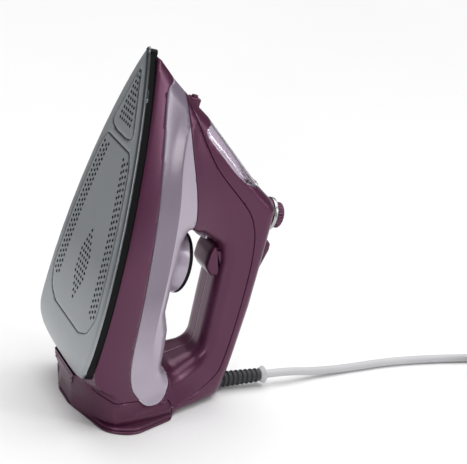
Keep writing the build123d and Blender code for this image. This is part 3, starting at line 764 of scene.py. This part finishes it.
def sole_sheet():
    """The perforated sheet, flat, with its edge drawn up and two grooves pressed in; on_sole curls its rear later.
    """
    points, edges = [], []

    def add(line):
        start, count = len(points), len(line) - 1
        points.extend(tuple(p) for p in line[:-1])
        edges.extend((start + k, start + (k + 1) % count) for k in range(count))

    add(plan)
    holes = hole_places()
    for x, y in holes:
        add(np.array([(x + HOLE * cos(pi * k / 5), y + HOLE * sin(pi * k / 5)) for k in range(11)]))
    hole_at = np.array(holes)

    def to_hole(places):
        gap = places[:, None, :] - hole_at[None, :, :]
        return np.min(np.hypot(gap[:, :, 0], gap[:, :, 1]), 1)

    groove_rows = []
    for loop in (tip_groove, u_groove):
        for gap in (-GROOVE_HALF, 0, GROOVE_HALF):
            groove_rows.append(loop[:-1] + left_of(loop[:-1]) * gap)
    ring = plan[:-1]
    edge_rows = []
    for gap in (0.25, 0.7, 1.3, 2.1, EDGE_DRAW):
        row = ring + inward_of(ring) * gap
        edge_rows.append(row[distance(row, plan) > gap * 0.9])
    step = 3.2
    xs, ys = np.meshgrid(np.arange(36, 304, step), np.arange(-64, 65, step))
    grid = np.stack([xs.ravel(), ys.ravel()], 1)
    grid = grid[inside(grid, ring) & (distance(grid, plan) > 4.2)]
    for loop in (tip_groove, u_groove):
        grid = grid[distance(grid, loop) > 1.4]
    extra = np.vstack([grid] + groove_rows + edge_rows)
    points.extend(tuple(p) for p in extra[to_hole(extra) > HOLE_ROOM])
    found = delaunay_2d_cdt([Vector(p) for p in points], edges, [], 0, 1e-4)
    flat = np.array([tuple(v) for v in found[0]])
    tris = np.array([f for f in found[2]])
    middle = flat[tris].mean(1)
    tris = tris[inside(middle, ring) & (to_hole(middle) > HOLE - 0.1)]
    line = np.minimum(distance(flat, tip_groove), distance(flat, u_groove))
    cut = np.clip(1 - line / GROOVE_HALF, 0, 1)
    lift = EDGE_LIFT * round_off(distance(flat, plan), EDGE_DRAW)
    return flat, tris, GROOVE_DEPTH * cut + lift, cut


def on_sole(flat, height):
    """Lays flat points on the sole, following its curled rear edge."""
    x, y = flat[:, 0], flat[:, 1]
    back = np.maximum(BEND - x, 0)
    curl = CURL - np.sqrt(CURL ** 2 - np.minimum(back, 40) ** 2)
    tilt = np.arcsin(np.minimum(back, 40) / CURL)
    return np.stack([x + height * np.sin(tilt), y, curl + height * np.cos(tilt)], 1)


flat, tris, height, cut = sole_sheet()
sole = make_piece("sole_sheet", on_sole(flat, height), tris, "sole_metal", replaces=["soleplate"])
up_from_sole = Vector((cos(LEAN), 0, -sin(LEAN)))
tool = bmesh.new()
tool.from_mesh(sole.data)
if sum((f.calc_area() * f.normal for f in tool.faces), Vector()).dot(up_from_sole) > 0:
    bmesh.ops.reverse_faces(tool, faces=tool.faces)
tool.to_mesh(sole.data)
tool.free()
# painted shade: each point's groove share, for the sole's material to darken the grooves
from_tree = {tuple(np.round(p, 6)): c for p, c in zip(stand(on_sole(flat, height)), cut)}
mark = sole.data.attributes.new("groove_shade", "FLOAT", "POINT")
mark.data.foreach_set("value", [float(from_tree.get(tuple(np.round(v.co, 6)), 0.0)) for v in sole.data.vertices])
refine(sole, "SOLIDIFY", thickness=0.0014, offset=-1.0)
crisp(sole, 55)


# ---------------------------------------------------------------- geometry nodes for repeats
class Kit:
    """Builds one geometry-node tree, with named inputs."""

    def __init__(self, name, inputs):
        self.tree = bpy.data.node_groups.new(name, "GeometryNodeTree")
        self.tree.interface.new_socket("Geometry", in_out="INPUT", socket_type="NodeSocketGeometry")
        self.sockets = {}
        for label, kind in inputs.items():
            made = self.tree.interface.new_socket(label, in_out="INPUT", socket_type=kind)
            self.sockets[label] = made.identifier
        self.tree.interface.new_socket("Geometry", in_out="OUTPUT", socket_type="NodeSocketGeometry")
        self.entry = self.tree.nodes.new("NodeGroupInput")
        self.exit = self.tree.nodes.new("NodeGroupOutput")

    def node(self, kind, settings=None, inputs=None):
        made = self.tree.nodes.new(kind)
        for key, value in (settings or {}).items():
            setattr(made, key, value)
        for key, value in (inputs or {}).items():
            if isinstance(value, bpy.types.NodeSocket):
                self.tree.links.new(value, made.inputs[key])
            else:
                made.inputs[key].default_value = value
        return made

    def close(self, geometry, material):
        real = self.node("GeometryNodeRealizeInstances", inputs={"Geometry": geometry})
        dressed = self.node("GeometryNodeSetMaterial",
                            inputs={"Geometry": real.outputs[0], "Material": material})
        self.tree.links.new(dressed.outputs[0], self.exit.inputs[0])


def grow(name, base, kit, values, slot, body, replaces=()):
    """Runs a tree on a base mesh and keeps the result as one plain piece."""
    carrier = bpy.data.objects.new(name, base)
    bpy.context.scene.collection.objects.link(carrier)
    modifier = carrier.modifiers.new("grow", "NODES")
    modifier.node_group = kit.tree
    for label, value in values.items():
        modifier[kit.sockets[label]] = value
    graph = bpy.context.evaluated_depsgraph_get()
    graph.update()
    mesh = bpy.data.meshes.new_from_object(carrier.evaluated_get(graph))
    carrier.modifiers.remove(modifier)
    carrier.data = mesh
    pieces.append((carrier, slot, body, replaces))
    return carrier


def points_mesh(name, points, normals=None, sizes=None):
    """Loose points for a tree to set shapes on, each with its aim and size."""
    mesh = bpy.data.meshes.new(name)
    mesh.from_pydata([tuple(p) for p in points], [], [])
    if normals is not None:
        aim = mesh.attributes.new("aim", "FLOAT_VECTOR", "POINT")
        aim.data.foreach_set("vector", np.asarray(normals, float).ravel())
    if sizes is not None:
        size = mesh.attributes.new("size", "FLOAT", "POINT")
        size.data.foreach_set("value", np.asarray(sizes, float))
    return mesh


def ring_kit(name, material, segments, round_segments):
    """Rings set on points: each turned to its point's aim and scaled to its size."""
    kit = Kit(name, {"Ring radius": "NodeSocketFloat", "Wire radius": "NodeSocketFloat"})
    path = kit.node("GeometryNodeCurvePrimitiveCircle",
                    inputs={"Resolution": segments, "Radius": kit.entry.outputs["Ring radius"]})
    wire = kit.node("GeometryNodeCurvePrimitiveCircle",
                    inputs={"Resolution": round_segments, "Radius": kit.entry.outputs["Wire radius"]})
    ring = kit.node("GeometryNodeCurveToMesh",
                    inputs={"Curve": path.outputs[0], "Profile Curve": wire.outputs[0]})
    aim = kit.node("GeometryNodeInputNamedAttribute", {"data_type": "FLOAT_VECTOR"}, {"Name": "aim"})
    size = kit.node("GeometryNodeInputNamedAttribute", {"data_type": "FLOAT"}, {"Name": "size"})
    turn = kit.node("FunctionNodeAlignRotationToVector", {"axis": "Z"}, {"Vector": aim.outputs[0]})
    spread = kit.node("GeometryNodeInstanceOnPoints", inputs={
        "Points": kit.entry.outputs["Geometry"], "Instance": ring.outputs[0],
        "Rotation": turn.outputs[0], "Scale": size.outputs[0]})
    kit.close(spread.outputs[0], material)
    return kit


def sole_aim(flat_points):
    """Direction out of the sole's face at each point."""
    near, far = on_sole(flat_points, np.zeros(len(flat_points))), on_sole(flat_points, -np.ones(len(flat_points)))
    aim = stand(far) - stand(near)
    return aim / np.linalg.norm(aim, axis=1)[:, None]


holes_flat = np.array(hole_places())
hole_kit = ring_kit("steam_hole_lips", finishes["sole_metal"], 10, 5)
lip_points = stand(on_sole(holes_flat, np.full(len(holes_flat), 0.05)))
grow("steam_hole_lips", points_mesh("steam_hole_lips", lip_points, sole_aim(holes_flat), np.ones(len(holes_flat))),
     hole_kit, {"Ring radius": 0.0015, "Wire radius": 0.0002}, "sole_metal", "iron")

# ---------------------------------------------------------------- turned pieces
KNOB = (187.0, 0.0)
KNOB_LOW = 149.5
DIAL = (134.0, 0.0)
DIAL_LOW = 69.5


def turned(name, profile, at, low, slot, body="iron", replaces=(), steps=64, finish=None):
    """A turned piece that stands upright over the sole."""
    points, made = lathe(profile, steps)
    points = points + (at[0], at[1], low)
    return crisp(make_piece(name, points, made, slot, body, replaces, finish))


turned("knob_ring", rounded([(0, 0), (14, 0), (14, 3.2), (12.2, 3.2), (11.8, 2.4), (0, 2.4)], 0.6),
       KNOB, 146, "chrome", replaces=["knob_collar"], steps=96, finish="steel")
turned("knob_turret", rounded([(0, -12), (13.6, -12), (13.4, -0.6), (12.9, 0), (0, 0)], 0.5),
       KNOB, 146, "plum", steps=96)
turned("knob_cap", rounded([(0, 0.6), (4, 0.6), (4, 0), (10, 0), (10.2, 7.2), (8.8, 8.3), (8, 8), (0, 8.3)], 0.9),
       KNOB, KNOB_LOW, "plum", "knob", ["steam_knob"], 96)
turned("dial_body", rounded([(0, -5.6), (24.6, -5.6), (26, -4.2), (26, 9.2), (0, 9.2)], 1.0),
       DIAL, DIAL_LOW, "lilac", "dial", ["temperature_dial"], 128, "tank_lilac")
turned("dial_edge",
       rounded([(0, 0), (25.2, 0), (26, 0.8), (26, 2.6), (24.6, 3.4), (21.6, 3.4), (20.8, 2.9), (0, 2.9)], 0.7),
       DIAL, DIAL_LOW + 9.2, "black_plastic", "dial", ["dial_rim"], 128)
turned("lamp_lens", rounded([(0, 0), (3, 0), (3, 6), (1.9, 6.6), (0, 6.7)], 0.5),
       (74, 0), 144, "clear_lilac", replaces=["pilot_lamp"], steps=32)

# knob ribs
rib_kit = Kit("knob_ribs", {"Ribs": "NodeSocketInt", "Radius": "NodeSocketFloat", "Rib radius": "NodeSocketFloat",
                            "Height": "NodeSocketFloat"})
circle = rib_kit.node("GeometryNodeMeshCircle", {"fill_type": "NONE"}, {
    "Vertices": rib_kit.entry.outputs["Ribs"], "Radius": rib_kit.entry.outputs["Radius"]})
rib = rib_kit.node("GeometryNodeMeshCylinder", {"fill_type": "TRIANGLE_FAN"}, {
    "Vertices": 10, "Radius": rib_kit.entry.outputs["Rib radius"], "Depth": rib_kit.entry.outputs["Height"]})
ribs = rib_kit.node("GeometryNodeInstanceOnPoints",
                    inputs={"Points": circle.outputs[0], "Instance": rib.outputs[0]})
upright_turn = Matrix(((sin(LEAN), 0, cos(LEAN)), (0, -1, 0), (cos(LEAN), 0, -sin(LEAN)))).to_euler()
knob_middle = stand([(KNOB[0], 0, KNOB_LOW + 3.9)])[0]
posed = rib_kit.node("GeometryNodeTransform", inputs={
    "Geometry": ribs.outputs[0], "Rotation": upright_turn, "Translation": tuple(knob_middle)})
rib_kit.close(posed.outputs[0], finishes["plum"])
grow("knob_ribs", points_mesh("knob_ribs", [(0, 0, 0)]), rib_kit,
     {"Ribs": 28, "Radius": 0.0102, "Rib radius": 0.00058, "Height": 0.0064}, "plum", "knob")


# ---------------------------------------------------------------- rounded blocks
def pillow(outline, half, edge, steps):
    """Flat outline in the side view given a width, with its edges rolled over."""
    ring = outline[:-1]
    inward = inward_of(ring)
    rows = []
    for k in range(steps + 1):
        turn = pi / 2 * k / steps
        rows.append((edge * (1 - cos(turn)), half - edge + edge * sin(turn)))
    levels = [(gap, y) for gap, y in reversed(rows)] + [(0, y) for y in np.linspace(0.7, -0.7, 5) * (half - edge)]
    levels += [(gap, -y) for gap, y in rows]
    points = [(p[0], y, p[1]) for gap, y in levels for p in ring + inward * gap]
    return np.array(points), skinned(len(levels), len(ring))


trigger_line = corners([(156.4, 101.4), (148, 99.4), (137, 99.6), (130.6, 105.5), (130.6, 116), (156.4, 116)],
                       [2, 12, 6, 5, 1, 1], 1.2)
points, made = pillow(trigger_line, 15.5, 3.2, 5)
lever = make_piece("steam_lever", points, made, "plum", "trigger", ["steam_trigger"])
# round pocket in the lever's top, where the return spring sits
points, made = lathe([(0, 0), (6.4, 0), (6.4, 5), (0, 5)], 32)
pocket = make_piece("pocket", points + (143, 0, 112.1), made, "plum")
pieces.pop()
refine(lever, "BOOLEAN", object=pocket, operation="DIFFERENCE", solver="EXACT")
bpy.data.objects.remove(pocket)
crisp(lever)
button_line = corners([(140.2, 145.4), (166.2, 145.4), (166.2, 151), (163.4, 154), (158, 154.4), (140.2, 150.8)],
                      [0, 0, 1, 2, 2, 0.6], 1.2)
points, made = pillow(button_line, 8.8, 1.6, 4)
crisp(make_piece("spray_key", points, made, "plum", "button", ["spray_button"]))
nozzle_line = corners([(258.1, 46.9), (271.5, 46.9), (271.5, 55.3), (258.1, 55.3)], [1.2] * 4, 1.0)
points, made = pillow(nozzle_line, 5.2, 1.2, 3)
crisp(make_piece("nozzle_block", points, made, "plum", replaces=["spray_nozzle"]))


# ---------------------------------------------------------------- heel foot
def heel_place(y, z, out):
    """Point over the heel plane, out mm above the floor."""
    return z * SLOPE + out / cos(LEAN), y, z


foot_side = [(64, 32), (72, 53), (61, 73), (49, 95)]
foot_points = [(-12, 17.3), (12, 17.3)] + foot_side + [(-y, z) for y, z in reversed(foot_side)]
foot_line = corners(foot_points, [20, 20, 18, 30, 80, 9, 9, 80, 30, 18], 3.0)
ring = foot_line[:-1]
inward = inward_of(ring)
lip = [(9, 0.6), (3, 0.4), (1.4, 0.05), (0.5, 0.15), (0.05, 0.7), (0, 1.3), (0.35, 1.9), (1.1, 2.15), (1.5, 2.4),
       (1.3, 2.8), (0.9, 3.2), (0.95, 4.0), (1.4, 4.6), (2.2, 4.9), (6, 5.0)]
points = [heel_place(p[0], p[1], out) for gap, out in lip for p in ring + inward * gap]
crisp(make_piece("heel_foot_lip", points, skinned(len(lip), len(ring)), "plum_dark", replaces=["heel_foot"]), 60)

# ---------------------------------------------------------------- cord, boot and plug
FLOOR_LIE = 0.0038               # cord's middle when it lies on the floor
GLAND = Vector((0.1516 - CENTRE / 1000, 0, 0.0082))
EXIT_WAY = Vector((0.995852, 0.087126, 0.026177))
COIL = Vector((0.464 - CENTRE / 1000, -0.020, 0))


def at_floor(x, y, z=FLOOR_LIE):
    """A route point given from the heel line, moved to the part's middle."""
    return Vector((x - CENTRE / 1000, y, z))


route = [GLAND, GLAND + EXIT_WAY * 0.0484, GLAND + EXIT_WAY * 0.0724, at_floor(0.254, 0.0125, 0.0056),
         at_floor(0.290, 0.0190), at_floor(0.334, 0.0275), at_floor(0.378, 0.0300), at_floor(0.422, 0.0286),
         at_floor(0.452, 0.0273)]
COIL_TURNS = 8
TURN_POINTS = 12
CORNER_CUT = 1 / 0.966           # a smooth line cuts inside its route points
TURN_RISE = 0.0068               # one layer of the coil on the next
radii = [47.3, 40.0, 32.7, 32.7, 40.0, 47.3, 47.3, 40.0, 40.0]
layers = [0, 0, 0, 1, 1, 1, 2, 2, 2]
for k in range(COIL_TURNS * TURN_POINTS):
    turn, part = divmod(k, TURN_POINTS)
    share = max(0.0, (part / TURN_POINTS - 0.7) / 0.3)
    reach = radii[turn] + (radii[turn + 1] - radii[turn]) * share
    height = layers[turn] + (layers[turn + 1] - layers[turn]) * share
    bearing = pi / 2 - 2 * pi * (part + 0.5) / TURN_POINTS
    rim = Vector((cos(bearing), sin(bearing), 0)) * (reach * CORNER_CUT / 1000)
    route.append(COIL + rim + Vector((0, 0, FLOOR_LIE + TURN_RISE * height)))
route += [at_floor(0.474, 0.020, 0.0172), at_floor(0.490, 0.020, 0.017), at_floor(0.508, 0.0205, 0.017),
          at_floor(0.534, 0.020, 0.0172)]

cord_curve = bpy.data.curves.new("mains_lead", "CURVE")
cord_curve.dimensions = "3D"
line = cord_curve.splines.new("NURBS")
line.points.add(len(route) - 1)
for point, place in zip(line.points, route):
    point.co = (*place, 1)
line.order_u = 3
line.use_endpoint_u = True
line.resolution_u = 6
bare = bpy.data.objects.new("bare_line", cord_curve)
bpy.context.scene.collection.objects.link(bare)
bpy.context.view_layer.update()
bare_mesh = bpy.data.meshes.new_from_object(bare)
bpy.data.objects.remove(bare)
cord_curve.bevel_depth = 0.0036
cord_curve.bevel_resolution = 5
cord_curve.use_fill_caps = True
cord_curve.materials.append(finishes["cord_jacket"])
lead = bpy.data.objects.new("mains_lead", cord_curve)
bpy.context.scene.collection.objects.link(lead)


def along_line(profile, start, way, steps=48):
    """Turned shape laid along a straight line, in metres."""
    points, made = lathe(profile, steps)
    turn = Vector((0, 0, 1)).rotation_difference(way.normalized()).to_matrix()
    places = [tuple(start + turn @ (Vector(p) / 1000)) for p in points]
    return places, made


places, made = along_line(rounded([(3.4, 1.0), (5.6, 1.0), (5.6, 2.4), (4.9, 46), (3.4, 46)], 0.4), GLAND, EXIT_WAY)
boot_core = crisp(make_piece("boot_core", places, made, "rubber", replaces=["strain_relief"], stood=False))
places, made = along_line(rounded([(3.7, 43.8), (5.9, 44.2), (7.6, 48.0), (7.2, 48.4), (3.7, 48.4)], 0.5),
                          GLAND, EXIT_WAY)
boot_collar = crisp(make_piece("boot_collar", places, made, "cord_jacket", stood=False))
rib_count = 9
rib_points = [tuple(GLAND + EXIT_WAY * (0.0036 + 0.0046 * k)) for k in range(rib_count)]
boot_kit = ring_kit("boot_ribs", finishes["rubber"], 40, 10)
boot_ribs = grow("boot_ribs", points_mesh("boot_ribs", rib_points, [tuple(EXIT_WAY)] * rib_count,
                                          [1 - 0.016 * k for k in range(rib_count)]),
                 boot_kit, {"Ring radius": 0.0056, "Wire radius": 0.00150}, "rubber", "iron")

PLUG = at_floor(0.530, 0.020, 0.0172)
places, made = along_line(rounded([(3.4, 0), (5.4, 0), (7.2, 10), (9, 14), (13, 14.4), (17, 22), (17, 40.6),
                                   (15.6, 42), (0, 42)], 1.2), PLUG, Vector((1, 0, 0)), 64)
plug_shell = crisp(make_piece("plug_shell", places, made, "white_plastic", replaces=["plug_body"], stood=False))
points, made = [], []
for side in (-1, 1):
    tip = [(0, 41), (2.4, 41), (2.4, 59.2), (1.6, 61), (0, 61)]
    places, bits = along_line(rounded(tip, 0.5), PLUG + Vector((0, side * 0.0095, 0)), Vector((1, 0, 0)), 24)
    base = len(points)
    points += places
    made += [tuple(base + i for i in f) for f in bits]
plug_prongs = crisp(make_piece("plug_prongs", points, made, "steel", replaces=["plug_pins"], stood=False))

# ---------------------------------------------------------------- inner CAD nodes, with real finishes
slot_of = {entry["node"]: entry["material_slot"] for entry in frame["record"]["subparts"]}
replaced = set(name for _, _, _, names in pieces for name in names) | {"mains_cord", "cord_coil", "plug_lead"}
for name, node in frame["nodes"].items():
    if name in replaced:
        continue
    finish = finishes[slot_of[name]]
    if node.material_slots:
        for place in node.material_slots:
            place.material = finish
    else:
        node.data.materials.append(finish)

# ---------------------------------------------------------------- studio
floor_bench = Bench("studio_floor")
floor_tone = floor_bench.noise(3.0, 2.0)
floor_look = floor_bench.finish({
    "Base Color": floor_bench.tint(floor_tone, (0.86, 0.86, 0.865), (0.89, 0.89, 0.89)), "Roughness": 0.75,
    "Specular IOR Level": 0.2})
floor_mesh = bpy.data.meshes.new("studio_floor")
REACH = 60.0
floor_mesh.from_pydata([(-REACH, -REACH, 0), (REACH, -REACH, 0), (REACH, REACH, 0), (-REACH, REACH, 0)], [],
                       [(0, 1, 2, 3)])
floor_mesh.materials.append(floor_look)
floor = bpy.data.objects.new("studio_floor", floor_mesh)
bpy.context.scene.collection.objects.link(floor)

world = bpy.data.worlds.new("studio")
world.use_nodes = True
world.node_tree.nodes["Background"].inputs["Color"].default_value = (1, 1, 1, 1)
world.node_tree.nodes["Background"].inputs["Strength"].default_value = 0.16
bpy.context.scene.view_settings.view_transform = "Standard"
bpy.context.scene.world = world


def soft_light(name, place, aim, size, power):
    """A wide lamp aimed at a place."""
    data = bpy.data.lights.new(name, "AREA")
    data.shape = "RECTANGLE"
    data.size, data.size_y = size
    data.energy = power
    light = bpy.data.objects.new(name, data)
    light.location = place
    light.rotation_euler = (Vector(aim) - Vector(place)).to_track_quat("-Z", "Y").to_euler()
    bpy.context.scene.collection.objects.link(light)


sky_data = bpy.data.lights.new("overhead", "SUN")
sky_data.energy = 2.95
sky_data.angle = radians(75)
sky = bpy.data.objects.new("overhead", sky_data)
sky.rotation_euler = (radians(-12), radians(10), 0)
bpy.context.scene.collection.objects.link(sky)
soft_light("key", (-0.95, -1.5, 0.75), (0, 0, 0.12), (0.22, 1.3), 9)
soft_light("side", (1.3, -1.0, 0.9), (0, 0, 0.15), (0.25, 1.0), 7)

# ---------------------------------------------------------------- fixing to the frame
for piece, slot, body, replaces in pieces:
    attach(piece, body)
    for name in replaces:
        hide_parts(name)
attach(lead, "iron")
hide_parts("mains_cord", "cord_coil", "plug_lead")
